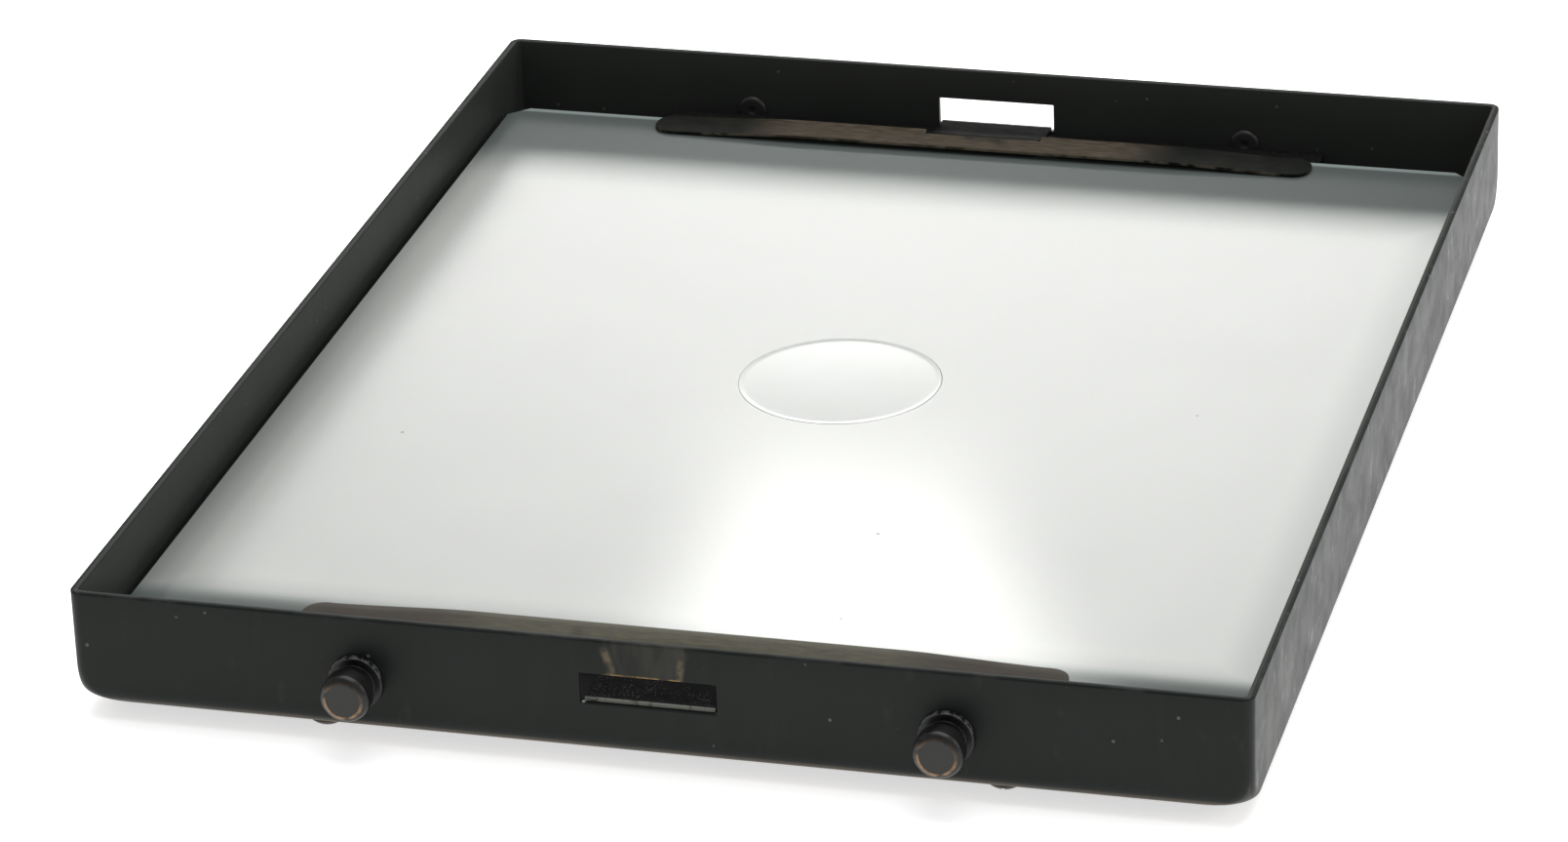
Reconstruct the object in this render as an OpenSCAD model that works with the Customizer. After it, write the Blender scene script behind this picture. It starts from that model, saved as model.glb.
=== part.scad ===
// Focusing-screen cassette for a medium-format reflex camera: a black brass tray that holds
// a ground glass over a Fresnel plate, with a leaf spring and a locating rail at each end.
// Millimetres. X runs across the tray, Y from front to rear, Z up.
// The origin is under the middle of the tray, in the plane of the four screw heads.

/* [Tray] */
// Width of the tray outside, across X
tray_w = 76; // [70:1:90]
// Length of the tray outside, along Y
tray_l = 96.2; // [92:0.1:110]
// Height of the walls from the underside of the floor
tray_h = 8; // [7.6:0.1:9]
// Thickness of the brass sheet
sheet = 0.5; // [0.4:0.05:0.6]
// Outside radius of the fold between each side wall and the floor
side_fold_r = 0.8; // [0.7:0.1:1]
// Outside radius of the fold between each end wall and the floor
end_fold_r = 1.4; // [0.9:0.1:1.5]
// Outside radius of the upright corners
corner_r = 0.8; // [0.6:0.1:1.2]
// Outside radius of the pressed lower corners, across the diagonal
lower_corner_r = 3; // [2:0.1:3.2]
// Side of the square window in the floor
window = 70; // [60:1:70]

/* [Wall slots] */
// Width of the slot in each end wall
slot_w = 8.8; // [7:0.1:10]
// Height of the slot
slot_h = 2.1; // [1.8:0.1:2.2]
// Height of the slot's lower edge above the underside of the floor
slot_z = 3.55; // [3.45:0.05:3.65]

/* [Screen] */
// Thickness of the ground glass
glass_t = 1.95; // [1.5:0.05:1.95]
// Thickness of the Fresnel plate
fresnel_t = 1.7; // [1.5:0.05:1.7]
// Gap between the outer face of each end wall and the glass
glass_end_gap = 4.4; // [4.2:0.05:4.5]
// Clearance between the glass and each side wall
glass_side_gap = 0.65; // [0.4:0.05:0.8]
// Size of the chamfer at the glass corners
glass_chamfer = 1.4; // [0.5:0.1:2]
// Diameter of the clear focusing spot
spot_d = 14; // [8:0.5:18]

/* [Leaf springs] */
// Length of a spring from tip to tip
spring_l = 50; // [44:1:54]
// Width of the strip
strip_w = 3; // [2.6:0.1:3.2]
// Thickness of the strip
strip_t = 0.22; // [0.2:0.01:0.28]
// Distance from the front wall's outer face to the far edge of the front strip
front_reach = 8.6; // [8.4:0.1:9]
// Distance from the rear wall's outer face to the far edge of the rear strip
rear_reach = 7.5; // [7.3:0.1:8]
// Height of the strip's raised middle above its tips
spring_bow = 0.32; // [0.1:0.02:0.5]
// Length of the raised middle
spring_flat = 29; // [20:1:34]
// Width of the ear that sits in the slot
ear_w = 8.4; // [5:0.1:8.5]

/* [Studs] */
// Distance between the two studs of a wall
stud_pitch = 38; // [30:1:44]
// Distance that a stud stands out of its wall
stud_out = 2.9; // [2.6:0.1:4]
// Diameter of the stud's head
stud_d = 3.2; // [2.8:0.1:3.6]
// Diameter of the stud's flange
stud_flange_d = 3.6; // [3.4:0.1:4]

/* [Screws] */
// Distance between the two screws of a rail
screw_pitch = 44; // [40:1:46]
// Diameter of the domed head
screw_head_d = 2.6; // [2.2:0.1:2.8]
// Height of the domed head
screw_head_h = 0.9; // [0.7:0.05:1.1]
// Diameter of the thread
screw_d = 1.4; // [1.2:0.1:1.6]

/* [Hidden] */
$fn = 64;
cut = 0.5;                                   // how far a cutting tool runs past a face
fit = 0.02;                                  // radial clearance of a shank in its hole
touch = 0.05;                                // gap under a spring tip, so that it can lift
floor_z = screw_head_h;                      // underside of the tray's floor
seat_z = floor_z + sheet;                    // top of the floor
rim_z = floor_z + tray_h;
glass_z = seat_z + fresnel_t;                // underside of the ground glass
glass_top = glass_z + glass_t;
sill_z = floor_z + slot_z;
wall_y = tray_l / 2;                         // outer face of an end wall
glass_y1 = wall_y - glass_end_gap;            // half the length of the glass
glass_w = tray_w - 2 * sheet - 2 * glass_side_gap;
spot_recess = 0.9;                           // depth of the pocket that holds the spot
spot_crown = 0.12;                           // height of the spot's dome above the glass
spot_fit = 0.03;
rail_glass_gap = 0.15;
rail_wall_gap = 0.4;                         // clears the riveted stud ends
rail_chamfer = 1;                            // clears the fold between wall and floor
rail_top = sill_z - 0.15;
ear_end_y = 0.3;                             // cut end of the ear, from the outer face
ear_relief = 0.9;                            // depth of the reliefs beside the ear
ear_gap = 0.25;
strip_end_r = 1.3;
rail_l = spring_l;
rail_y0 = glass_y1 + rail_glass_gap;
rail_y1 = wall_y - sheet - rail_wall_gap;
screw_y = wall_y - 2.6;
screw_reach = 2.0;                           // thread above the top of the floor
stud_z = floor_z + 3.65;
stud_neck_d = 2.5;
stud_flange_t = 0.45;
stud_head_y = 1.2;                           // start of the head, from the wall
stud_chamfer = 0.5;
stud_shank_d = 1.6;
stud_tail_d = 2.2;                           // riveted end inside the wall
stud_tail_t = 0.3;
punch_d = 0.7;                               // punch mark in the riveted end
driver_slot_w = 0.3;
driver_slot_h = 0.45;

// A rectangle with rounded corners, centred
module rounded_rect(w, l, r) {
    square([w - 2 * r, l], center = true);
    square([w, l - 2 * r], center = true);
    for (x = [-1, 1], y = [-1, 1]) translate([x * (w / 2 - r), y * (l / 2 - r)]) circle(r);
}

// A trough's section: flat top, rounded lower corners, standing on y = 0
module trough_section(w, h, r) {
    translate([-w / 2, r]) square([w, h - r]);
    translate([-w / 2 + r, 0]) square([w - 2 * r, h]);
    for (x = [-1, 1]) translate([x * (w / 2 - r), r]) circle(r);
}

// How far a rounded plan reaches in a direction turned from +X
function plan_reach(w, l, r, turn) = (w / 2 - r) * cos(turn) + (l / 2 - r) * sin(abs(turn)) + r;

// A block whose lower edges are folded to two radii and whose upright corners are rounded.
// Troughs turned about Z round its lower corners off in three directions each.
module folded_block(w, l, h, side_r, end_r, upright_r, low_corner_r) {
    intersection() {
        rotate([90, 0, 0]) linear_extrude(l, center = true) trough_section(w, h, side_r);
        rotate([90, 0, 90]) linear_extrude(w, center = true) trough_section(l, h, end_r);
        linear_extrude(h) rounded_rect(w, l, upright_r);
        intersection_for (turn = [-67.5, -45, -22.5, 22.5, 45, 67.5])
            rotate([90, 0, turn]) linear_extrude(2 * l, center = true)
                trough_section(2 * plan_reach(w, l, upright_r, turn), h,
                    low_corner_r - (abs(turn) == 45 ? 0 : 0.3));
    }
}

// A cylinder along Y that starts at y = 0
module y_cylinder(d, l) { rotate([-90, 0, 0]) cylinder(d = d, h = l); }

// Repeats its children at a stud or screw pitch
module at_pair(pitch) { for (x = [-1, 1]) translate([x * pitch / 2, 0, 0]) children(); }

module tray_frame() {
    color("#2b2e2d") difference() {
        translate([0, 0, floor_z])
            folded_block(tray_w, tray_l, tray_h, side_fold_r, end_fold_r, corner_r, lower_corner_r);
        translate([0, 0, seat_z])
            folded_block(tray_w - 2 * sheet, tray_l - 2 * sheet, tray_h, side_fold_r - sheet,
                end_fold_r - sheet, corner_r - sheet, lower_corner_r - sheet);
        translate([0, 0, floor_z - cut]) linear_extrude(sheet + 2 * cut) rounded_rect(window, window, 2);
        for (side = [-1, 1]) {
            translate([-slot_w / 2, side * (wall_y - sheet / 2) - sheet, sill_z])
                cube([slot_w, 2 * sheet, slot_h]);
            translate([0, side * (wall_y - sheet / 2) - sheet, stud_z])
                at_pair(stud_pitch) y_cylinder(stud_shank_d, 2 * sheet);
        }
        for (side = [-1, 1]) translate([0, side * screw_y, floor_z - cut])
            at_pair(screw_pitch) cylinder(d = screw_d + 0.2, h = sheet + 2 * cut);
    }
}

// Outline shared by the two optical plates, with chamfered corners
module plate_outline() {
    c = glass_chamfer;
    x = glass_w / 2;
    y = glass_y1;
    polygon([[-x, -y + c], [-x + c, -y], [x - c, -y], [x, -y + c], [x, y - c], [x - c, y],
        [-x + c, y], [-x, y - c]]);
}

module fresnel_plate() {
    color("#c9d0cf") translate([0, 0, seat_z]) linear_extrude(fresnel_t) plate_outline();
}

module ground_glass() {
    color("#e4e7e6") difference() {
        translate([0, 0, glass_z]) linear_extrude(glass_t) plate_outline();
        translate([0, 0, glass_top - spot_recess]) cylinder(d = spot_d, h = spot_recess + cut);
    }
}

// A plano-convex disc set in the glass, turned from its section
module focusing_spot() {
    edge_r = spot_d / 2 - spot_fit;
    ball_r = (edge_r * edge_r + spot_crown * spot_crown) / (2 * spot_crown);
    steps = 8;
    dome = [for (i = [0:steps]) let (r = edge_r * (1 - i / steps))
        [r, spot_recess + spot_crown - ball_r + sqrt(ball_r * ball_r - r * r)]];
    color("#f4f6f5") translate([0, 0, glass_top - spot_recess])
        rotate_extrude() polygon(concat([[0, 0], [edge_r, 0]], dome));
}

// The bar inside the rear wall, tapped for its two screws
module rear_rail() {
    color("#1d1f1f") difference() {
        translate([-rail_l / 2, 0, 0]) rotate([90, 0, 90]) linear_extrude(rail_l)
            polygon([[rail_y0, seat_z], [rail_y1 - rail_chamfer, seat_z],
                [rail_y1, seat_z + rail_chamfer], [rail_y1, rail_top], [rail_y0, rail_top]]);
        translate([0, screw_y, seat_z - cut])
            at_pair(screw_pitch) cylinder(d = screw_d, h = screw_reach + 0.2 + cut);
    }
}

module front_rail() { mirror([0, 1, 0]) rear_rail(); }

// Height of the strip's underside above its tips, at a distance x from the middle
function bow_at(x) = spring_bow * min(1, max(0, (spring_l / 2 - 2 - abs(x)) / ((spring_l - spring_flat) / 2 - 2)));

// Side view of the bowed strip in X and Z
module strip_profile() {
    xs = [-spring_l / 2, -spring_l / 2 + 2, -spring_flat / 2, spring_flat / 2, spring_l / 2 - 2,
        spring_l / 2];
    under = [for (x = xs) [x, bow_at(x)]];
    over = [for (i = [len(xs) - 1:-1:0]) [xs[i], bow_at(xs[i]) + strip_t]];
    polygon(concat(under, over));
}

// A leaf spring drawn for the front wall: the strip lies on the glass, and the ear runs
// back down to the sill of the wall's slot. Two reliefs beside the ear let it bend.
// reach is the distance from the wall's outer face to the strip's far edge, and bend_y is
// where the ear starts to climb.
module leaf_spring(reach, bend_y) {
    tip_z = glass_top + touch;
    near_y = reach - strip_w;
    root_y = near_y + ear_relief;
    ear_z0 = sill_z + touch;
    ear_z1 = tip_z + spring_bow;
    color("#5b4c3c") {
        difference() {
            intersection() {
                translate([0, reach, tip_z]) rotate([90, 0, 0]) linear_extrude(strip_w)
                    strip_profile();
                translate([0, near_y + strip_w / 2, tip_z - 1])
                    linear_extrude(spring_bow + strip_t + 2) rounded_rect(spring_l, strip_w, strip_end_r);
            }
            translate([-ear_w / 2 - ear_gap, near_y - cut, tip_z - cut])
                cube([ear_w + 2 * ear_gap, ear_relief + cut, spring_bow + strip_t + 2 * cut]);
        }
        translate([-ear_w / 2, 0, 0]) rotate([90, 0, 90]) linear_extrude(ear_w)
            polygon([[ear_end_y, ear_z0], [bend_y, ear_z0], [root_y, ear_z1],
                [root_y + 0.3, ear_z1], [root_y + 0.3, ear_z1 + strip_t],
                [root_y, ear_z1 + strip_t], [bend_y, ear_z0 + strip_t],
                [ear_end_y, ear_z0 + strip_t]]);
    }
}

module front_leaf_spring() { translate([0, -wall_y, 0]) leaf_spring(front_reach, 0.8); }

module rear_leaf_spring() {
    translate([0, wall_y, 0]) mirror([0, 1, 0]) leaf_spring(rear_reach, 2.5);
}

// A turned stud riveted through the front wall, drawn on the axis x = 0. The profile's
// first number is the radius and its second the distance out of the wall's outer face.
module stud() {
    shank_r = stud_shank_d / 2 - fit;
    inside = -sheet - stud_tail_t;
    color("#2a2a28") rotate([90, 0, 0]) rotate_extrude() polygon([
        [0, inside + 0.2], [punch_d / 2, inside], [stud_tail_d / 2 - 0.15, inside],
        [stud_tail_d / 2, inside + 0.15], [stud_tail_d / 2, -sheet], [shank_r, -sheet], [shank_r, 0],
        [stud_flange_d / 2, 0], [stud_flange_d / 2, stud_flange_t - 0.1],
        [stud_flange_d / 2 - 0.1, stud_flange_t], [stud_neck_d / 2, stud_flange_t],
        [stud_neck_d / 2, stud_head_y], [stud_d / 2 - 0.15, stud_head_y],
        [stud_d / 2, stud_head_y + 0.15], [stud_d / 2, stud_out - stud_chamfer],
        [stud_d / 2 - stud_chamfer, stud_out], [0, stud_out]]);
}

module front_stud(side) { translate([side * stud_pitch / 2, -wall_y, stud_z]) stud(); }

module rear_stud(side) { translate([side * stud_pitch / 2, wall_y, stud_z]) rotate([0, 0, 180]) stud(); }

// A slotted screw with a domed head below the floor
module screw(x, y, slot_turn) {
    r = screw_head_d / 2;
    edge = 0.25;
    crown = screw_head_h - edge;
    ball_r = (r * r + crown * crown) / (2 * crown);
    color("#3a322c") translate([x, y, 0]) difference() {
        union() {
            intersection() {
                cylinder(r = r, h = screw_head_h);
                translate([0, 0, ball_r]) sphere(ball_r, $fn = 96);
            }
            translate([0, 0, screw_head_h]) cylinder(d = screw_d - 2 * fit, h = sheet + screw_reach);
        }
        rotate([0, 0, slot_turn]) translate([-r - cut, -driver_slot_w / 2, -cut])
            cube([2 * r + 2 * cut, driver_slot_w, driver_slot_h + cut]);
    }
}

tray_frame();
fresnel_plate();
ground_glass();
focusing_spot();
front_rail();
rear_rail();
front_leaf_spring();
rear_leaf_spring();
front_stud(-1);  // front_left_stud
front_stud(1);  // front_right_stud
rear_stud(-1);  // rear_left_stud
rear_stud(1);  // rear_right_stud
screw(-screw_pitch / 2, -screw_y, 40);  // front_left_screw
screw(screw_pitch / 2, -screw_y, 90);  // front_right_screw
screw(-screw_pitch / 2, screw_y, 15);  // rear_left_screw
screw(screw_pitch / 2, screw_y, 120);  // rear_right_screw
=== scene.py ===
import math

import bmesh
import bpy
from mathutils import Matrix, Quaternion, Vector


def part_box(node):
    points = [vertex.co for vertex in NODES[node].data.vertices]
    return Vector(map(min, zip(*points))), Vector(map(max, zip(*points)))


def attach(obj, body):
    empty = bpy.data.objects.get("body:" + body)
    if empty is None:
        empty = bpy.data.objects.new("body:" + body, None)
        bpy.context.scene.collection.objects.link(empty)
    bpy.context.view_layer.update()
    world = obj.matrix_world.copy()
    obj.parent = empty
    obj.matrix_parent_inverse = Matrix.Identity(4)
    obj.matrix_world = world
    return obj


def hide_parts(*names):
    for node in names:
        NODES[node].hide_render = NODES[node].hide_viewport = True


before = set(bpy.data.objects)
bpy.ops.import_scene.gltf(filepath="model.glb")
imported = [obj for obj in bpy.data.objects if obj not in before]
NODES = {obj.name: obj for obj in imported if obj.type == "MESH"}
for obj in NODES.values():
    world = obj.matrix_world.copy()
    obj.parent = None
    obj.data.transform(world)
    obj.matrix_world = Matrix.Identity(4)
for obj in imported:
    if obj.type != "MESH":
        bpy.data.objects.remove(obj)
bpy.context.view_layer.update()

MM = 0.001


# ---------------------------------------------------------------- places and sizes, in mm

def span(node):
    """A CAD node's lowest and highest corner, in millimetres."""
    low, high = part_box(node)
    return Vector(low) / MM, Vector(high) / MM


TRAY_LOW, TRAY_HIGH = span("tray_frame")
GLASS_HIGH = span("ground_glass")[1]
SPOT_LOW, SPOT_HIGH = span("focusing_spot")
HALF_X = TRAY_HIGH.x
WALL_Y = TRAY_HIGH.y
RIM_Z = TRAY_HIGH.z
FLOOR_Z = TRAY_LOW.z
GLASS_TOP = GLASS_HIGH.z
SHEET = 0.5

# the slot in each end wall
SLOT_TOP = FLOOR_Z + 5.65
SLOT_SILL = FLOOR_Z + 3.55
SLOT_HALF = 4.4

# the tray's folds, the roundings of its corners and the window in its floor
SIDE_FOLD = 0.8
END_FOLD = 1.4
UPRIGHT = 0.8
CORNER_RISE = 2.8
CORNER_GROWTH = 3.4
RIM_ROUND = 0.1
WINDOW_HALF = 35.0
WINDOW_CORNER = 2.0
WALL_X_STATIONS = [-33, -28, -22, -16, -10, -SLOT_HALF, 0, SLOT_HALF, 10, 16, 22, 28, 33]
WALL_Y_STATIONS = [-42, -35, -28, -21, -14, -7, 0, 7, 14, 21, 28, 35, 42]
FOLD_HEIGHTS = [2.8, 2.4, 2.0, 1.65, 1.4, 1.15, 0.95, 0.8, 0.64, 0.5, 0.37, 0.25, 0.15, 0.07, 0.02, 0.0]

# the leaf springs and the ear at the middle of each
STRIP_W = 3.0
STRIP_T = 0.22
STRIP_HALF = 25.0
STRIP_END = 1.3
STRIP_BOW = 0.32
STRIP_FLAT = 14.5
EAR_HALF = 4.2
EAR_RELIEF = 0.9
EAR_GAP = 0.25
EAR_TIP = 0.3

# the focusing spot's dome
SPOT_SINK = 0.025
SPOT_RISE = 0.085
SPOT_FILLET = 0.4

# a stud's outline as (radius, distance out from the wall's face)
STUD_PROFILE = [(0, -0.6), (0.35, -0.8), (0.95, -0.8), (1.1, -0.65), (1.1, -0.5), (0.78, -0.5), (0.78, 0),
                (1.8, 0), (1.8, 0.38), (1.72, 0.45), (1.25, 0.45), (1.25, 1.35), (1.5, 1.35), (1.6, 1.45),
                (1.6, 2.5), (1.47, 2.7), (1.25, 2.86), (1.12, 2.9), (0, 2.9)]


# ---------------------------------------------------------------- shader building

class Shader:
    """A material made of one Principled shader and the nodes that feed it. Its lengths are in mm."""

    def __init__(self, name, **sockets):
        self.material = bpy.data.materials.new(name)
        self.material.use_nodes = True
        self.tree = self.material.node_tree
        self.bsdf = self.tree.nodes["Principled BSDF"]
        for socket, value in sockets.items():
            self.bsdf.inputs[socket.replace("_", " ")].default_value = value
        self.coords = self.tree.nodes.new("ShaderNodeTexCoord")
        scaled = self.tree.nodes.new("ShaderNodeVectorMath")
        scaled.operation = "SCALE"
        scaled.inputs["Scale"].default_value = 1 / MM
        self.tree.links.new(self.coords.outputs["Object"], scaled.inputs[0])
        self.mm = scaled.outputs[0]
        split = self.tree.nodes.new("ShaderNodeSeparateXYZ")
        self.tree.links.new(self.mm, split.inputs[0])
        self.x, self.y, self.z = split.outputs

    def feed(self, socket, value):
        """Links a node's output to the socket, or sets a plain value on it."""
        if hasattr(value, "is_linked"):
            self.tree.links.new(value, socket)
        else:
            socket.default_value = value

    def math(self, operation, a, b=0.0):
        node = self.tree.nodes.new("ShaderNodeMath")
        node.operation = operation
        self.feed(node.inputs[0], a)
        self.feed(node.inputs[1], b)
        return node.outputs[0]

    def add(self, a, b):
        return self.math("ADD", a, b)

    def less(self, a, b):
        return self.math("SUBTRACT", a, b)

    def size(self, value):
        return self.math("ABSOLUTE", value)

    def times(self, *values):
        result = values[0]
        for value in values[1:]:
            result = self.math("MULTIPLY", result, value)
        return result

    def distance(self, a, b):
        """How far the point (a, b) is from the centre line."""
        return self.math("SQRT", self.add(self.times(a, a), self.times(b, b)))

    def step(self, value, low, high, to_low=0.0, to_high=1.0):
        """A smooth step of value from low to high; low may be the larger."""
        node = self.tree.nodes.new("ShaderNodeMapRange")
        node.interpolation_type = "SMOOTHSTEP"
        settings = {"Value": value, "From Min": low, "From Max": high, "To Min": to_low, "To Max": to_high}
        for name, setting in settings.items():
            self.feed(node.inputs[name], setting)
        return node.outputs[0]

    def placed(self, stretch, shift=0.0):
        """The position, stretched and shifted, for a texture to read."""
        mapping = self.tree.nodes.new("ShaderNodeMapping")
        mapping.inputs["Scale"].default_value = stretch
        mapping.inputs["Location"].default_value = (shift, shift * 1.7, shift * 2.3)
        self.tree.links.new(self.mm, mapping.inputs[0])
        return mapping.outputs[0]

    def noise(self, scale, detail=3.0, stretch=(1, 1, 1), roughness=0.55, shift=0.0):
        node = self.tree.nodes.new("ShaderNodeTexNoise")
        node.inputs["Scale"].default_value = scale
        node.inputs["Detail"].default_value = detail
        node.inputs["Roughness"].default_value = roughness
        self.tree.links.new(self.placed(stretch, shift), node.inputs["Vector"])
        return node.outputs[0]

    def cells(self, scale):
        """Distance to the nearest cell point."""
        node = self.tree.nodes.new("ShaderNodeTexVoronoi")
        node.inputs["Scale"].default_value = scale
        self.tree.links.new(self.placed((1, 1, 1)), node.inputs["Vector"])
        return node.outputs["Distance"]

    def mix(self, amount, a, b):
        node = self.tree.nodes.new("ShaderNodeMix")
        node.data_type = "RGBA"
        self.feed(node.inputs["Factor"], amount)
        self.feed(node.inputs[6], a if hasattr(a, "is_linked") else (*a, 1))
        self.feed(node.inputs[7], b if hasattr(b, "is_linked") else (*b, 1))
        return node.outputs[2]

    def shades(self, value, low, high, colours):
        """The first colour where value is under low, the second where it is over high."""
        return self.mix(self.step(value, low, high), *colours)

    def upward(self):
        """How far the face points up, from -1 to 1."""
        split = self.tree.nodes.new("ShaderNodeSeparateXYZ")
        self.tree.links.new(self.coords.outputs["Normal"], split.inputs[0])
        return split.outputs[2]

    def colour(self, value):
        self.feed(self.bsdf.inputs["Base Color"], value)

    def roughness(self, value):
        self.feed(self.bsdf.inputs["Roughness"], value)

    def bump(self, height, distance, strength):
        node = self.tree.nodes.new("ShaderNodeBump")
        node.inputs["Strength"].default_value = strength
        node.inputs["Distance"].default_value = distance * MM
        self.tree.links.new(height, node.inputs["Height"])
        self.tree.links.new(node.outputs[0], self.bsdf.inputs["Normal"])


# ---------------------------------------------------------------- the tray's lacquer

LACQUER = ((0.0052, 0.0084, 0.0080), (0.0077, 0.0110, 0.0106))
LACQUER_STREAK = (0.020, 0.0215, 0.0200)
# painted light: the inner faces are made lighter than the outside, for the light they get inside the tray
LACQUER_INSIDE_PAINTED_LIGHT = (0.036, 0.039, 0.036)
LACQUER_SCRATCH = (0.045, 0.045, 0.038)
LACQUER_SCUFF = (0.035, 0.036, 0.034)
CORNER_SCUFF = (0.080, 0.080, 0.067)
RIM_GREY = (0.04, 0.043, 0.042)
FOLD_BROWN = (0.20, 0.13, 0.068)
DENT_GREY = (0.056, 0.053, 0.044)
DENT_BRASS = (0.19, 0.15, 0.095)
SLOT_BRASS = (0.34, 0.22, 0.085)
PALE_SPECK = (0.15, 0.15, 0.135)
CORNER_SCUFF_Y = -41.5
DENT_X = -0.15
DENT_HALF = 2.15
DENT_SPREAD = 0.5


def inside_faces(s):
    """1 on the tray's inner faces, 0 outside."""
    return s.times(s.step(s.size(s.x), HALF_X - 0.2, HALF_X - 0.3),
                   s.step(s.size(s.y), WALL_Y - 0.2, WALL_Y - 0.3),
                   s.step(s.z, FLOOR_Z + 0.3, FLOOR_Z + 0.5))


def corner_scuff(s, base, side):
    """A paler scuff at the front end of the right wall."""
    near = s.step(s.size(s.less(s.y, CORNER_SCUFF_Y)), 6.5, 2.5)
    patch = s.step(s.noise(0.45, 5, stretch=(1, 1, 0.5), roughness=0.65, shift=14), 0.42, 0.62)
    return s.mix(s.times(side, s.step(s.x, 0, 1), near, patch, 0.35), base, CORNER_SCUFF)


def fold_wear(s, base, inner, side):
    """Brown wear on the lower folds, fainter along the sides."""
    low = s.times(s.step(s.z, FLOOR_Z + 0.80, FLOOR_Z + 0.42), s.step(s.z, FLOOR_Z + 0.02, FLOOR_Z + 0.12))
    patch = s.step(s.noise(0.16, 5, shift=9), 0.30, 0.55, 0.25, 1.0)
    low = s.times(low, patch, s.less(1, inner), s.step(side, 0, 1, 1.0, 0.3))
    return s.mix(s.times(low, 0.8), base, FOLD_BROWN)


def front_dent(s, base):
    """The rubbed patch above the front slot, its two brass lines and the slot's bright upper lip."""
    half = s.add(s.times(s.step(s.z, SLOT_TOP, RIM_Z), DENT_SPREAD), DENT_HALF)
    across = s.size(s.less(s.x, DENT_X))
    past = s.less(across, half)
    front = s.step(s.y, -WALL_Y + 0.25, -WALL_Y + 0.1)
    above = s.times(front, s.step(s.z, SLOT_TOP - 0.1, SLOT_TOP))
    fill = s.times(s.step(past, 0.15, -0.15), above)
    fill = s.times(fill, s.step(s.noise(0.7, 3, stretch=(1, 1, 0.2), shift=6), 0.30, 0.75))
    base = s.mix(s.times(fill, 0.6), base, DENT_GREY)
    line = s.times(s.step(s.size(past), 0.42, 0.05), above, s.step(s.z, RIM_Z - 0.2, RIM_Z - 0.9))
    line = s.times(line, s.step(s.noise(1.1, 4, shift=2), 0.32, 0.62))
    base = s.mix(s.times(line, 0.55), base, DENT_BRASS)
    lip = s.times(s.step(s.z, SLOT_TOP + 0.16, SLOT_TOP + 0.02), above, s.step(across, 2.9, 2.1))
    lip = s.times(lip, s.step(s.noise(1.3, 3, shift=3), 0.42, 0.60))
    return s.mix(s.times(lip, 0.85), base, SLOT_BRASS)


def specks_and_scuffs(s, base):
    speck = s.times(s.step(s.cells(0.55), 0.085, 0.035), s.step(s.noise(0.25, 1, shift=12), 0.42, 0.50))
    base = s.mix(s.times(speck, 0.6), base, PALE_SPECK)
    scuff = s.step(s.noise(0.5, 5, stretch=(1, 1, 0.5), shift=21), 0.63, 0.74)
    return s.mix(s.times(scuff, 0.25), base, LACQUER_SCUFF)


def lacquer():
    """Satin black lacquer on brass sheet, worn on its edges and above the front slot."""
    s = Shader("black_lacquer", Specular_IOR_Level=0.19, Specular_Tint=(1, 0.96, 0.89, 1))
    cloud = s.noise(0.11, 4)
    streak = s.noise(0.7, 4, stretch=(1, 1, 0.16))
    inner = inside_faces(s)
    side = s.step(s.size(s.x), HALF_X - 0.2, HALF_X - 0.05)
    scratch = s.step(s.noise(0.8, 6, stretch=(1, 1, 0.6), roughness=0.7, shift=31), 0.54, 0.70)
    rim = s.step(s.z, RIM_Z - 0.2, RIM_Z - 0.08)
    base = s.shades(cloud, 0.35, 0.7, LACQUER)
    base = s.mix(s.times(s.step(streak, 0.5, 0.8), 0.25), base, LACQUER_STREAK)
    # painted light: a lighter copy of the lacquer on the inner faces
    base = s.mix(s.times(inner, s.step(cloud, 0.2, 0.8, 0.8, 1.0)), base, LACQUER_INSIDE_PAINTED_LIGHT)
    base = s.mix(s.times(scratch, side, 0.35), base, LACQUER_SCRATCH)
    base = corner_scuff(s, base, side)
    base = s.mix(s.times(rim, s.step(s.noise(0.35, 3, shift=4), 0.48, 0.70), 0.4), base, RIM_GREY)
    base = fold_wear(s, base, inner, side)
    base = front_dent(s, base)
    s.colour(specks_and_scuffs(s, base))
    rough = s.step(s.add(s.times(streak, 0.4), s.times(cloud, 0.6)), 0.3, 0.7, 0.38, 0.45)
    patches = s.step(s.noise(0.38, 5, roughness=0.65, shift=17), 0.35, 0.65, -0.03, 0.04)
    rough = s.add(rough, s.times(patches, side))
    rough = s.add(rough, s.times(scratch, side, -0.10))
    s.roughness(s.add(rough, s.times(rim, 0.42)))
    s.bump(s.add(s.times(s.noise(9, 3), 0.3), s.times(streak, 0.15)), 0.012, 0.4)
    return s.material


# ---------------------------------------------------------------- the other materials

GLASS = ((0.302, 0.310, 0.296), (0.327, 0.335, 0.320))
# painted shade and reflection: the darker border along the rear, sides and front of the glass
GLASS_PAINTED_SHADE = (0.092, 0.108, 0.104)
# painted shade: the teal band along the glass's front edge, in the front wall's shadow
GLASS_FRONT_SHADE = (0.020, 0.035, 0.033)
# painted highlight: the pale bevelled edges of the glass
GLASS_EDGE_HIGHLIGHT = (0.42, 0.50, 0.47)
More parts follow.
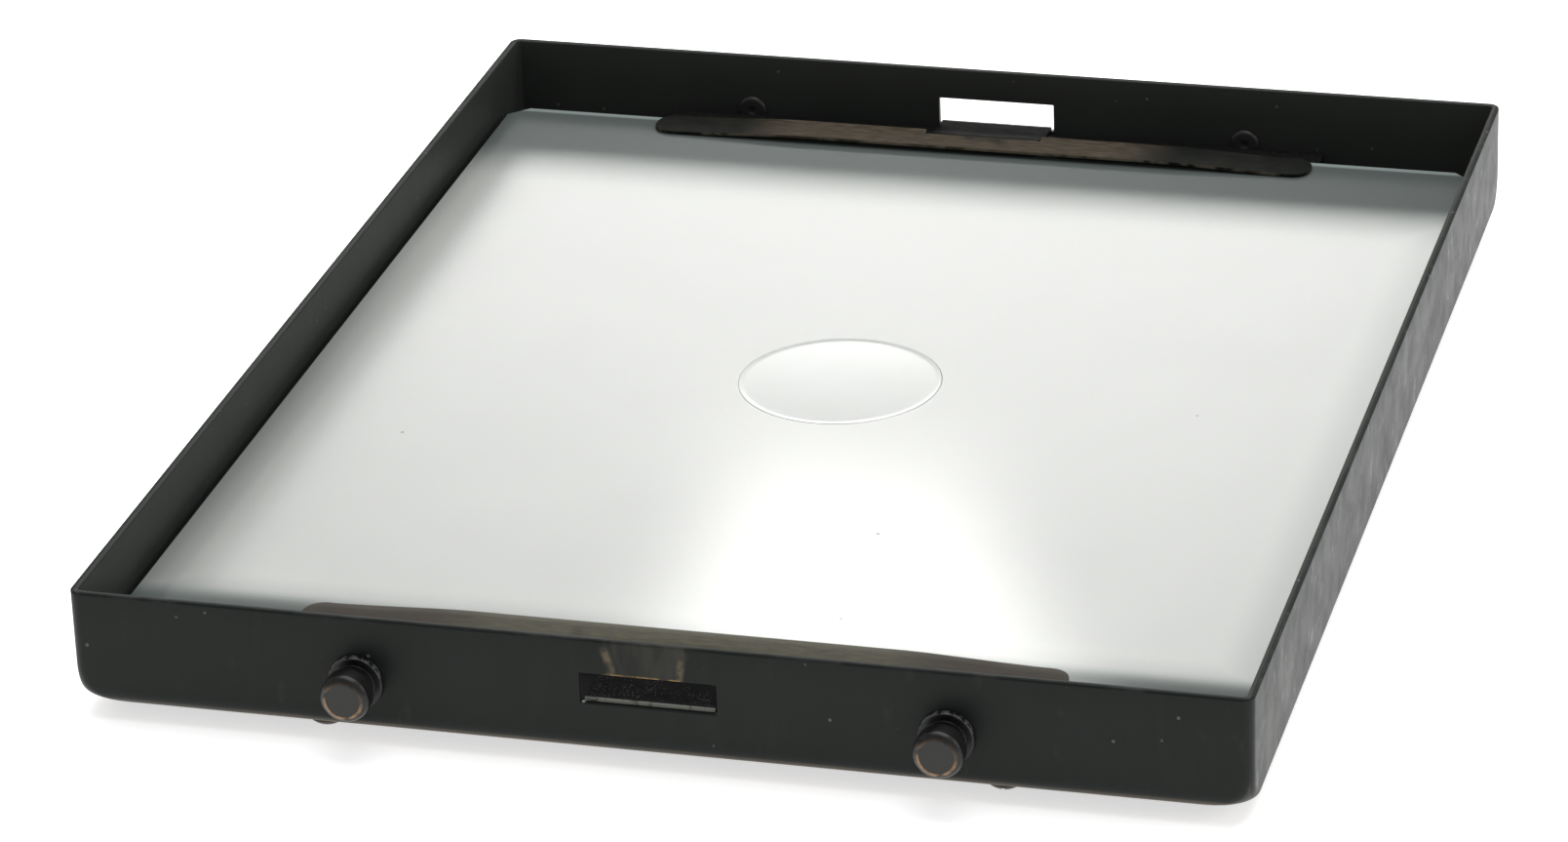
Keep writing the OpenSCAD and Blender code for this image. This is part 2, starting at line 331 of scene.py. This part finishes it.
# painted highlight: the thin pale line along the glass's rear edge
GLASS_REAR_HIGHLIGHT = (0.30, 0.35, 0.34)
GLASS_DUST = (0.03, 0.03, 0.03)
SPOT_GREY = ((0.315, 0.325, 0.315), (0.340, 0.350, 0.340))
ACRYLIC = ((0.62, 0.66, 0.655), (0.68, 0.71, 0.705))
RINGS_PER_MM = 1.25
BRONZE_EDGE = (0.20, 0.175, 0.13)
EAR_BLACK = (0.0030, 0.0034, 0.0032)
EAR_GRIT = (0.10, 0.10, 0.09)
EAR_TIP_WEAR_AND_HIGHLIGHT = (0.21, 0.215, 0.19)
STUD_BLACK = ((0.006, 0.0065, 0.0062), (0.012, 0.0125, 0.0115))
STUD_TAIL = (0.032, 0.034, 0.031)
STUD_CHAMFER = (0.016, 0.0155, 0.0140)
STUD_FACE = (0.023, 0.022, 0.0195)
STUD_BRASS = (0.36, 0.205, 0.095)
STUD_FLANGE_HIGHLIGHT = (0.15, 0.155, 0.15)
STUD_RING_RADIUS = 1.21
STEEL = ((0.030, 0.024, 0.020), (0.075, 0.058, 0.045))
RAIL_BLACK = ((0.004, 0.0043, 0.0041), (0.010, 0.0105, 0.010))
RAIL_SPECK = (0.07, 0.067, 0.060)


def painted_glass_shade(s):
    """1 in the painted shade and reflection along the border of the glass, 0 in its clear middle; the left
    side fades to the rear.
    """
    half_x = GLASS_HIGH.x
    half_y = GLASS_HIGH.y
    side = s.step(s.size(s.x), half_x - 4.0, half_x - 0.3, 0.0, 0.45)
    side = s.times(side, s.math("MAXIMUM", s.step(s.x, -1, 1), s.step(s.y, 24, -14)))
    rear = s.step(s.y, half_y - 14.0, half_y - 6.5)
    front_shade = s.step(s.y, -half_y + 8.0, -half_y + 2.0)
    return s.math("MAXIMUM", s.math("MAXIMUM", side, rear), front_shade)


def frosted_glass():
    """Glass with a rough body under a glossy top; its darker border is painted shade and reflection, and
    its pale edges and rear line are painted highlights.
    """
    s = Shader("frosted_glass", Specular_IOR_Level=0.5, IOR=1.52, Coat_Weight=0.5, Coat_Roughness=0.05)
    cloud = s.noise(0.04, 2)
    # painted shade and reflection of the walls in the glass's border
    body = s.mix(painted_glass_shade(s), s.shades(cloud, 0.3, 0.7, GLASS), GLASS_PAINTED_SHADE)
    # painted shade along the front edge, where the front wall shades the glass
    front_shade = s.step(s.y, -GLASS_HIGH.y + 5.8, -GLASS_HIGH.y + 3.4)
    body = s.mix(s.times(front_shade, 0.7), body, GLASS_FRONT_SHADE)
    # painted highlight on the faces that don't point up, the bevelled edges
    edge_highlight = s.step(s.upward(), 0.97, 0.85)
    body = s.mix(edge_highlight, body, GLASS_EDGE_HIGHLIGHT)
    # painted highlight: a thin pale line along the rear edge
    rear_highlight = s.step(s.y, GLASS_HIGH.y - 0.75, GLASS_HIGH.y - 0.4)
    body = s.mix(s.times(rear_highlight, 0.8), body, GLASS_REAR_HIGHLIGHT)
    dust = s.times(s.step(s.cells(0.16), 0.030, 0.014), s.step(s.noise(0.05, 1, shift=7), 0.47, 0.5))
    s.colour(s.mix(s.times(dust, 0.85), body, GLASS_DUST))
    rough = s.add(s.step(cloud, 0.3, 0.7, 0.33, 0.36), s.times(front_shade, 0.5))
    s.roughness(s.math("MAXIMUM", rough, s.times(edge_highlight, 0.45)))
    s.bump(s.noise(1.6, 2), 0.001, 0.2)
    return s.material


def clear_spot():
    """The spot's grey, a little paler than the glass and without its coat."""
    s = Shader("clear_spot", Specular_IOR_Level=0.5, IOR=1.52)
    cloud = s.noise(0.08, 2)
    s.colour(s.shades(cloud, 0.3, 0.7, SPOT_GREY))
    s.roughness(s.step(cloud, 0.3, 0.7, 0.31, 0.34))
    return s.material


def fresnel_plastic():
    """Acrylic with fine rings."""
    s = Shader("fresnel_plastic", Specular_IOR_Level=0.5, IOR=1.49, Transmission_Weight=0.25)
    tooth = s.math("FRACT", s.times(s.distance(s.x, s.y), RINGS_PER_MM))
    s.colour(s.shades(s.noise(0.05, 2), 0.3, 0.7, ACRYLIC))
    s.roughness(s.step(s.noise(0.3, 2), 0.3, 0.7, 0.18, 0.26))
    s.bump(tooth, 0.12, 0.6)
    return s.material


class Spring:
    """What differs between the two leaf springs."""

    def __init__(self, end, side, reach, bend, centre, brown, ends, grit):
        self.node = end + "_leaf_spring"
        self.body = end + "_spring"
        self.finish = "bronze_" + end
        self.side = side
        self.reach = reach
        self.near = reach - STRIP_W
        self.bend = bend
        self.centre = centre
        self.brown = brown
        self.ends = ends
        self.grit = grit


# brown is the middle's colour, partly rubbed bronze and partly painted light; ends is darker, partly
# painted shade on the sloping ends
FRONT_SPRING = Spring("front", side=-1, reach=8.6, bend=0.8, centre=0.5, grit=0.6,
                      brown=((0.037, 0.034, 0.020), (0.063, 0.057, 0.034)),
                      ends=((0.018, 0.0130, 0.0085), (0.031, 0.0225, 0.0150)))
REAR_SPRING = Spring("rear", side=1, reach=7.5, bend=2.5, centre=-2.0, grit=0.15,
                     brown=((0.050, 0.041, 0.030), (0.090, 0.072, 0.054)),
                     ends=((0.009, 0.0105, 0.009), (0.017, 0.0165, 0.014)))


def bronze(spring):
    """Blackened spring bronze, brown on the raised middle and darker at the ends, partly rubbed bronze and
    partly painted light and shade; the ear is grainy black.
    """
    s = Shader(spring.finish, Specular_IOR_Level=0.04)
    out = s.times(s.y, spring.side)
    middle = s.step(s.size(s.less(s.x, spring.centre)), 17.5, 11.5)
    patch = s.noise(0.25, 5)
    fine = s.noise(3.2, 4, stretch=(0.22, 1, 1))
    brown = s.shades(fine, 0.35, 0.7, spring.brown)
    if spring is REAR_SPRING:
        ends = s.shades(patch, 0.35, 0.65, spring.ends)
    else:
        ends = s.shades(fine, 0.35, 0.7, spring.ends)
    # the brown middle is partly painted light where the bow catches it; the darker ends are partly painted
    # shade
    base = s.mix(s.times(middle, s.step(patch, 0.22, 0.45)), ends, brown)
    worn = s.times(s.step(s.upward(), 0.85, 0.5), s.step(s.noise(0.6, 3, shift=3), 0.4, 0.6))
    base = s.mix(s.times(worn, 0.6), base, BRONZE_EDGE)
    # the grainy black ear; its cut end is pale, partly wear and partly a painted highlight
    ear = s.step(out, WALL_Y - spring.near - 0.75, WALL_Y - spring.near - 0.55)
    ear = s.times(ear, s.math("LESS_THAN", s.size(s.x), EAR_HALF + 0.1))
    grit = s.times(s.step(s.cells(6.5), 0.30, 0.12), s.step(s.noise(1.2, 2, shift=5), 0.38, 0.55))
    base = s.mix(ear, base, s.mix(s.times(grit, spring.grit), EAR_BLACK, EAR_GRIT))
    # the pale cut end: wear and a painted highlight of the end catching the light
    tip = s.times(s.step(out, WALL_Y - 0.50, WALL_Y - 0.42), ear)
    tip = s.times(tip, s.step(s.noise(1.5, 3, shift=11), 0.25, 0.5))
    s.colour(s.mix(s.times(tip, 0.8), base, EAR_TIP_WEAR_AND_HIGHLIGHT))
    s.roughness(s.add(s.step(fine, 0.3, 0.7, 0.48, 0.62), s.times(ear, 0.3)))
    s.bump(s.add(fine, s.times(grit, ear)), 0.01, 0.4)
    return s.material


def blackened_brass():
    """A stud's finish: black, rubbed to brass round the end face, with a painted highlight of pale dashes
    along the flange's upper rim.
    """
    s = Shader("blackened_stud", Metallic=0.2, Specular_IOR_Level=0.4)
    patch = s.noise(0.7, 4)
    out = s.size(s.y)
    radius = s.distance(s.x, s.z)
    base = s.shades(patch, 0.35, 0.65, STUD_BLACK)
    tail = s.times(s.step(radius, 1.20, 1.12), s.step(out, 2.0, 1.0))
    base = s.mix(tail, base, STUD_TAIL)
    end = s.step(out, 2.38, 2.5)
    chamfer = s.times(end, s.step(radius, 1.0, 1.15))
    base = s.mix(s.times(chamfer, s.step(s.noise(1.1, 3, shift=15), 0.3, 0.7)), base, STUD_CHAMFER)
    ring = s.times(end, s.step(s.size(s.less(radius, STUD_RING_RADIUS)), 0.14, 0.05))
    lower = s.step(s.add(s.z, s.times(s.x, 0.35)), 0.9, -0.7, 0.10, 1.0)
    worn = s.times(ring, lower, s.step(s.noise(1.3, 3, shift=5), 0.25, 0.55))
    base = s.mix(s.times(worn, 0.85), base, STUD_BRASS)
    face = s.times(s.step(out, 2.8, 2.88), s.step(radius, 1.15, 1.0))
    base = s.mix(s.times(face, 0.7), base, STUD_FACE)
    # painted highlight: pale dashes on the upper half of the flange's rim
    flange = s.times(s.step(radius, 1.70, 1.77), s.step(s.noise(2.4, 3, shift=8), 0.44, 0.56))
    flange = s.times(flange, s.step(s.z, 0.1, 1.0))
    s.colour(s.mix(s.times(flange, 0.75), base, STUD_FLANGE_HIGHLIGHT))
    s.roughness(s.step(patch, 0.3, 0.7, 0.26, 0.38))
    s.bump(s.noise(6, 3), 0.008, 0.4)
    return s.material


def dark_steel():
    s = Shader("screw_steel", Metallic=0.7, Specular_IOR_Level=0.45)
    patch = s.noise(0.9, 4)
    s.colour(s.shades(patch, 0.35, 0.65, STEEL))
    s.roughness(s.step(patch, 0.3, 0.7, 0.35, 0.5))
    s.bump(s.noise(5, 3), 0.01, 0.4)
    return s.material


def matt_black():
    s = Shader("black_rail", Specular_IOR_Level=0.1)
    grit = s.noise(2.6, 4)
    base = s.shades(grit, 0.35, 0.7, RAIL_BLACK)
    speck = s.times(s.step(s.cells(3.2), 0.16, 0.08), s.step(s.noise(0.8, 2, shift=5), 0.45, 0.6))
    s.colour(s.mix(speck, base, RAIL_SPECK))
    s.roughness(s.step(grit, 0.3, 0.7, 0.7, 0.9))
    s.bump(grit, 0.05, 0.8)
    return s.material


# ---------------------------------------------------------------- mesh building

def add_object(name, mesh, material, location=(0, 0, 0)):
    piece = bpy.data.objects.new(name, mesh)
    piece.location = location
    bpy.context.scene.collection.objects.link(piece)
    mesh.materials.append(material)
    return piece


def mesh_from(bm, name):
    """The finished mesh, with the working one freed."""
    mesh = bpy.data.meshes.new(name)
    bm.to_mesh(mesh)
    bm.free()
    return mesh


def smooth(mesh, angle):
    """Smooth shading, with edges sharper than the angle left crisp."""
    mesh.shade_smooth()
    mesh.set_sharp_from_angle(angle=math.radians(angle))


def round_edges(piece, width, sharper_than):
    """Rounds the edges that are sharper than an angle in degrees."""
    edges = piece.modifiers.new("edges", "BEVEL")
    edges.width = width * MM
    edges.segments = 2
    edges.limit_method = "ANGLE"
    edges.angle_limit = math.radians(sharper_than)
    return edges


def stand_for(piece, body, node):
    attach(piece, body)
    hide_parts(node)


def eased(points, radius, steps):
    """The polyline with each inner corner rounded by a short curve."""
    result = [Vector(points[0])]
    for before, corner, after in zip(points, points[1:], points[2:]):
        before, corner, after = Vector(before), Vector(corner), Vector(after)
        cut_in = min(radius, (before - corner).length * 0.45)
        cut_out = min(radius, (after - corner).length * 0.45)
        start = corner + (before - corner).normalized() * cut_in
        end = corner + (after - corner).normalized() * cut_out
        for i in range(steps + 1):
            t = i / steps
            result.append(start * (1 - t) ** 2 + corner * 2 * t * (1 - t) + end * t ** 2)
    result.append(Vector(points[-1]))
    return result


def lathe(name, profile, turn, around):
    """A solid turned about +Z from (radius, height) points in mm, then turned by a matrix."""
    bm = bmesh.new()
    rings = []
    for radius, height in profile:
        if radius < 1e-6:
            rings.append([bm.verts.new((0, 0, height * MM))])
            continue
        angles = [2 * math.pi * i / around for i in range(around)]
        rings.append([bm.verts.new((radius * MM * math.cos(a), radius * MM * math.sin(a), height * MM))
                      for a in angles])
    for low, high in zip(rings, rings[1:]):
        for i in range(around):
            j = (i + 1) % around
            if len(low) == 1:
                bm.faces.new((low[0], high[j], high[i]))
            elif len(high) == 1:
                bm.faces.new((low[i], low[j], high[0]))
            else:
                bm.faces.new((low[i], low[j], high[j], high[i]))
    bmesh.ops.recalc_face_normals(bm, faces=bm.faces)
    mesh = mesh_from(bm, name)
    mesh.transform(turn)
    smooth(mesh, 35)
    return mesh


def dress_cad(node, material, bevel):
    """Gives a CAD node its material, and fine rounded edges by modifiers; its own vertices stay."""
    part = NODES[node]
    part.data.materials.clear()
    part.data.materials.append(material)
    joined = part.modifiers.new("joined", "WELD")
    joined.merge_threshold = 0.002 * MM
    round_edges(part, bevel, 40).use_clamp_overlap = True
    even = part.modifiers.new("flat_faces", "WEIGHTED_NORMAL")
    even.mode = "FACE_AREA"
    even.weight = 100


# ---------------------------------------------------------------- the tray

def arc_inset(radius, height):
    """How far a quarter round of that radius has turned in at a height above its foot."""
    if height >= radius:
        return 0.0
    return radius - math.sqrt(max(0.0, radius ** 2 - (radius - height) ** 2))


def outline(half_x, half_y, corner, z):
    """One ring of the tray: wall stations joined by corner arcs, counterclockwise."""
    scale_x = min(1.0, (half_x - corner) / WALL_X_STATIONS[-1])
    scale_y = min(1.0, (half_y - corner) / WALL_Y_STATIONS[-1])
    ring = []
    for quarter, (sx, sy) in enumerate(((1, -1), (1, 1), (-1, 1), (-1, -1))):
        for i in range(11):
            a = math.radians(90 * quarter - 90 + 9 * i)
            ring.append((sx * (half_x - corner) + corner * math.cos(a),
                         sy * (half_y - corner) + corner * math.sin(a), z))
        if quarter == 0:
            ring += [(half_x, y * scale_y, z) for y in WALL_Y_STATIONS]
        if quarter == 1:
            ring += [(x * scale_x, half_y, z) for x in reversed(WALL_X_STATIONS)]
        if quarter == 2:
            ring += [(-half_x, y * scale_y, z) for y in reversed(WALL_Y_STATIONS)]
        if quarter == 3:
            ring += [(x * scale_x, -half_y, z) for x in WALL_X_STATIONS]
    return ring


def wall_ring(inset, z):
    """The ring of the upright walls at a height, set in from the outer face."""
    return outline(HALF_X - inset, WALL_Y - inset, UPRIGHT - inset, z)


def fold_ring(sheet, h):
    """The ring of the folds at height h above the floor's outer face, or its inner one."""
    rise = CORNER_RISE - sheet
    up = h * rise / CORNER_RISE
    grow = arc_inset(1.0, up / rise) * CORNER_GROWTH
    half_x = HALF_X - sheet - arc_inset(SIDE_FOLD - sheet, up)
    half_y = WALL_Y - sheet - arc_inset(END_FOLD - sheet, up)
    return outline(half_x, half_y, UPRIGHT - sheet + grow, FLOOR_Z + sheet + up)


def tray_rings():
    """Rings from the rim down the outside, through the window and up the inside."""
    turns = [math.radians(22.5 * k) for k in range(5)]
    rim = [(RIM_ROUND * (1 - math.sin(a)), RIM_ROUND * (1 - math.cos(a))) for a in turns]
    rings = [wall_ring(inset, RIM_Z - drop) for inset, drop in rim]
    rings += [wall_ring(0, z) for z in (SLOT_TOP, SLOT_SILL)]
    rings += [fold_ring(0, h) for h in FOLD_HEIGHTS]
    rings += [outline(WINDOW_HALF, WINDOW_HALF, WINDOW_CORNER, z) for z in (FLOOR_Z, FLOOR_Z + SHEET)]
    rings += [fold_ring(SHEET, h) for h in reversed(FOLD_HEIGHTS)]
    rings += [wall_ring(SHEET, z) for z in (SLOT_SILL, SLOT_TOP)]
    rings += [wall_ring(SHEET - inset, RIM_Z - drop) for inset, drop in reversed(rim)]
    return rings


def slot_columns(ring):
    """The places along a ring where the end walls are open."""
    count = len(ring)
    columns = []
    for i in range(count):
        a, b = ring[i], ring[(i + 1) % count]
        on_end = abs(a[1]) > WALL_Y - 0.01 and abs(b[1]) > WALL_Y - 0.01
        if on_end and max(abs(a[0]), abs(b[0])) < SLOT_HALF + 0.01:
            columns.append(i)
    return columns


def line_slots(bm, rows, outer, inner, columns):
    """The sill, top and ends of each slot, between the outer row and the inner one."""
    count = len(rows[0])
    for first, second in ((outer, inner + 1), (outer + 1, inner)):
        for i in columns:
            j = (i + 1) % count
            bm.faces.new((rows[first][i], rows[first][j], rows[second][j], rows[second][i]))
    for i in columns:
        j = (i + 1) % count
        if (i - 1) % count not in columns:
            bm.faces.new((rows[outer][i], rows[outer + 1][i], rows[inner][i], rows[inner + 1][i]))
        if j not in columns:
            bm.faces.new((rows[outer][j], rows[outer + 1][j], rows[inner][j], rows[inner + 1][j]))


def tray(material):
    """The folded tray as one closed shell with its window and two wall slots."""
    rings = tray_rings()
    bm = bmesh.new()
    rows = [[bm.verts.new(Vector(p) * MM) for p in ring] for ring in rings]
    count = len(rows[0])
    slot_heights = {round(SLOT_TOP, 4), round(SLOT_SILL, 4)}
    slot_rows = [k for k in range(len(rings) - 1)
                 if {round(rings[k][0][2], 4), round(rings[k + 1][0][2], 4)} == slot_heights]
    columns = slot_columns(rings[slot_rows[0]])
    for k in range(len(rows)):
        low, high = rows[k], rows[(k + 1) % len(rows)]
        for i in range(count):
            if k in slot_rows and i in columns:
                continue
            j = (i + 1) % count
            bm.faces.new((low[i], high[i], high[j], low[j]))
    line_slots(bm, rows, *slot_rows, columns)
    bmesh.ops.recalc_face_normals(bm, faces=bm.faces)
    mesh = mesh_from(bm, "tray_shell")
    smooth(mesh, 40)
    piece = add_object("tray_shell", mesh, material)
    round_edges(piece, 0.06, 50).harden_normals = True
    stand_for(piece, "cassette", "tray_frame")


# ---------------------------------------------------------------- studs, spot and springs

def stud(node, material):
    """One turned stud, with eased corners, in place of the CAD node."""
    low, high = span(node)
    side = -1 if low.y < 0 else 1
    tail, face = STUD_PROFILE[0], STUD_PROFILE[-1]
    profile = [tail] + [tuple(p) for p in eased(STUD_PROFILE, 0.07, 3)[1:-1]] + [face]
    turn = Matrix.Rotation(math.radians(-90 * side), 4, "X")
    mesh = lathe(node + "_turned", profile, turn, 96)
    centre = ((low.x + high.x) / 2 * MM, side * WALL_Y * MM, (low.z + high.z) / 2 * MM)
    piece = add_object(node + "_turned", mesh, material, centre)
    stand_for(piece, "cassette", node)


def spot(material):
    """The focusing spot: a low dome that meets the glass in a shallow hollow fillet."""
    radius = (SPOT_HIGH.x - SPOT_LOW.x) / 2
    foot = radius - SPOT_FILLET
    profile = [(0, SPOT_LOW.z - GLASS_TOP), (radius, SPOT_LOW.z - GLASS_TOP)]
    for i in range(9):
        t = i / 8
        profile.append((radius - SPOT_FILLET * t, -SPOT_SINK * (1 - math.cos(math.pi * t)) / 2))
    for i in range(1, 25):
        t = i / 24
        profile.append((foot * (1 - t), SPOT_RISE * (1 - (1 - t) ** 2) - SPOT_SINK))
    mesh = lathe("focusing_spot_dome", profile, Matrix.Identity(4), 160)
    piece = add_object("focusing_spot_dome", mesh, material, (0, 0, GLASS_TOP * MM))
    stand_for(piece, "cassette", "focusing_spot")


def strip_height(x):
    """Height of the strip's underside above its tips: flat ends, a slope and a flat middle."""
    rest = STRIP_HALF - 2
    t = (rest - abs(x)) / (rest - STRIP_FLAT)
    t = min(1.0, max(0.0, t))
    return STRIP_BOW * (t * 0.6 + (t * t * (3 - 2 * t)) * 0.4)


def strip_half_width(x):
    """Half the strip's width, less where its ends are rounded."""
    over = abs(x) - (STRIP_HALF - STRIP_END)
    if over <= 0:
        return STRIP_W / 2
    return STRIP_W / 2 - STRIP_END + math.sqrt(max(0.0, STRIP_END ** 2 - over * over))


def strip_stations():
    """Places along the strip: close together round its ends, and at the sides of the ear and notch."""
    straight = STRIP_HALF - STRIP_END
    inner = [-EAR_HALF - EAR_GAP, -EAR_HALF, EAR_HALF, EAR_HALF + EAR_GAP]
    xs = set(inner)
    for i in range(57):
        x = -straight + i * 2 * straight / 56
        if min(abs(x - k) for k in inner) > 0.3:
            xs.add(x)
    for i in range(1, 9):
        x = straight + STRIP_END * math.sin(math.radians(90 * i / 8))
        xs.add(x)
        xs.add(-x)
    return sorted(xs)


def strip_faces(spring):
    """The strip and its ear as one open sheet, which is thickened later."""
    tip = GLASS_TOP + 0.05
    near = spring.near
    root = near + EAR_RELIEF
    low = SLOT_SILL + 0.05
    path = eased([(root, tip + STRIP_BOW), (spring.bend, low), (EAR_TIP, low)], 0.5, 6)
    rows = [near, near + 0.45, root, near + 1.5, near + 2.25, spring.reach]
    xs = strip_stations()
    bm = bmesh.new()
    made = {}

    def vertex(x, y, z):
        key = (round(x, 4), round(y, 4), round(z, 4))
        if key not in made:
            made[key] = bm.verts.new((x * MM, spring.side * (WALL_Y - y) * MM, z * MM))
        return made[key]

    def strip_vertex(x, y):
        middle = near + STRIP_W / 2
        y = middle + (y - middle) * strip_half_width(x) / (STRIP_W / 2)
        return vertex(x, y, tip + strip_height(x))

    for a, b in zip(xs, xs[1:]):
        beside_ear = -EAR_HALF - EAR_GAP - 1e-6 < a and b < EAR_HALF + EAR_GAP + 1e-6
        for first, last in zip(rows, rows[1:]):
            if beside_ear and first < root - 1e-6:
                continue
            corners = [(a, first), (b, first), (b, last), (a, last)]
            unique = list(dict.fromkeys(strip_vertex(x, y) for x, y in corners))
            if len(unique) > 2:
                bm.faces.new(unique)
        if a > -EAR_HALF - 1e-6 and b < EAR_HALF + 1e-6:
            for p, q in zip(path, path[1:]):
                bm.faces.new((vertex(a, *p), vertex(a, *q), vertex(b, *q), vertex(b, *p)))
    return bm


def leaf_spring(spring):
    """A bowed strip with an ear bent down into the wall's slot."""
    bm = strip_faces(spring)
    bmesh.ops.recalc_face_normals(bm, faces=bm.faces)
    if sum(f.normal.z * f.calc_area() for f in bm.faces) < 0:
        bmesh.ops.reverse_faces(bm, faces=bm.faces)
    mesh = mesh_from(bm, spring.node + "_strip")
    mesh.shade_smooth()
    piece = add_object(spring.node + "_strip", mesh, bronze(spring))
    thick = piece.modifiers.new("thickness", "SOLIDIFY")
    thick.thickness = STRIP_T * MM
    thick.offset = 1.0
    thick.use_even_offset = True
    round_edges(piece, 0.05, 50).use_clamp_overlap = True
    stand_for(piece, spring.body, spring.node)


# ---------------------------------------------------------------- stage, lights and camera

FLOOR_GREY = ((0.80, 0.80, 0.80), (0.82, 0.82, 0.82))
CARD_PLACE = (-0.32, 1.2, 0.55)
CARD_SIZE = (1.5, 0.72)
CAMERA_AIM = (-2.45, -5.91, 4.5)
CAMERA_DISTANCE = 422.23
CAMERA_TURNS = (15.657, 25.042, -2.088)
CAMERA_LENS = 142.787


def grid(name, segments, size):
    bm = bmesh.new()
    bmesh.ops.create_grid(bm, x_segments=segments, y_segments=segments, size=size)
    return mesh_from(bm, name)


def floor():
    """A pale floor that gives off a little light, so that it stays white under the soft lights."""
    s = Shader("pale_floor", Specular_IOR_Level=0.2, Roughness=0.7, Emission_Strength=0.62,
               Emission_Color=(1, 1, 1, 1))
    s.colour(s.shades(s.noise(0.01, 2), 0.3, 0.7, FLOOR_GREY))
    add_object("floor", grid("floor", 8, 3), s.material)


def soft_light(name, centre, size, strength):
    """A rectangular panel of light that faces the object."""
    light = bpy.data.lights.new(name, "AREA")
    light.shape = "RECTANGLE"
    light.size, light.size_y = size
    light.energy = strength
    lamp = bpy.data.objects.new(name, light)
    lamp.location = centre
    lamp.rotation_mode = "QUATERNION"
    lamp.rotation_quaternion = Vector(centre).to_track_quat("Z", "Y")
    bpy.context.scene.collection.objects.link(lamp)


def card_glow():
    """A wide band low on the card for the rough glass, and a patch above it for the glossy coat."""
    s = Shader("backdrop_card", Roughness=1.0, Base_Color=(0, 0, 0, 1), Emission_Color=(1, 1, 0.972, 1))
    wide = s.step(s.size(s.less(s.x, 50)), 640, 160)
    low = s.step(s.size(s.add(s.z, 228)), 105, 45)
    half = s.step(s.z, 60, 160, 34, 76)
    core = s.step(s.less(s.size(s.x), half), 28, -22)
    core = s.times(core, s.step(s.z, 24, 92), s.step(s.z, 330, 200))
    glow = s.add(s.times(wide, low, 23.0), s.times(core, 8.0))
    glow = s.add(glow, s.times(s.step(s.z, -40, 40), 0.6))
    s.feed(s.bsdf.inputs["Emission Strength"], glow)
    return s.material


def backdrop_card():
    """The glowing card behind the object, which the glass mirrors and the camera doesn't see."""
    mesh = grid("backdrop_card", 1, 0.5)
    mesh.transform(Matrix.Diagonal((*CARD_SIZE, 1, 1)))
    mesh.transform(Matrix.Rotation(math.radians(90), 4, "X"))
    piece = add_object("backdrop_card", mesh, card_glow(), CARD_PLACE)
    piece.visible_camera = False


def lights():
    backdrop_card()
    soft_light("top_light", (0.1, 0.25, 1.3), (1.4, 1.2), 15)
    soft_light("right_light", (1.1, 0.1, 0.5), (0.6, 0.6), 3)
    world = bpy.data.worlds.new("studio")
    world.use_nodes = True
    background = world.node_tree.nodes["Background"].inputs
    background["Color"].default_value = (0.975, 1.0, 0.985, 1)
    background["Strength"].default_value = 0.36
    bpy.context.scene.world = world


def camera():
    azimuth, elevation, roll = (math.radians(a) for a in CAMERA_TURNS)
    back = Vector((math.sin(azimuth) * math.cos(elevation), -math.cos(azimuth) * math.cos(elevation),
                   math.sin(elevation)))
    data = bpy.data.cameras.new("camera")
    data.lens = CAMERA_LENS
    data.sensor_width = 36
    data.clip_start = 0.01
    data.clip_end = 20
    eye = bpy.data.objects.new("camera", data)
    eye.location = Vector(CAMERA_AIM) * MM + back * CAMERA_DISTANCE * MM
    eye.rotation_mode = "QUATERNION"
    eye.rotation_quaternion = (-back).to_track_quat("-Z", "Y") @ Quaternion((0, 0, 1), roll)
    bpy.context.scene.collection.objects.link(eye)
    bpy.context.scene.camera = eye


# ---------------------------------------------------------------- assembly

ENDS = ("front", "rear")
CORNERS = ("front_left", "front_right", "rear_left", "rear_right")

camera()
lights()
floor()
bpy.context.scene.view_settings.view_transform = "Standard"

tray(lacquer())
dress_cad("ground_glass", frosted_glass(), 0.12)
dress_cad("fresnel_plate", fresnel_plastic(), 0.1)
rail_finish = matt_black()
for end in ENDS:
    dress_cad(end + "_rail", rail_finish, 0.1)
screw_finish = dark_steel()
for corner in CORNERS:
    dress_cad(corner + "_screw", screw_finish, 0.04)
spot(clear_spot())
stud_finish = blackened_brass()
for corner in CORNERS:
    stud(corner + "_stud", stud_finish)
leaf_spring(FRONT_SPRING)
leaf_spring(REAR_SPRING)
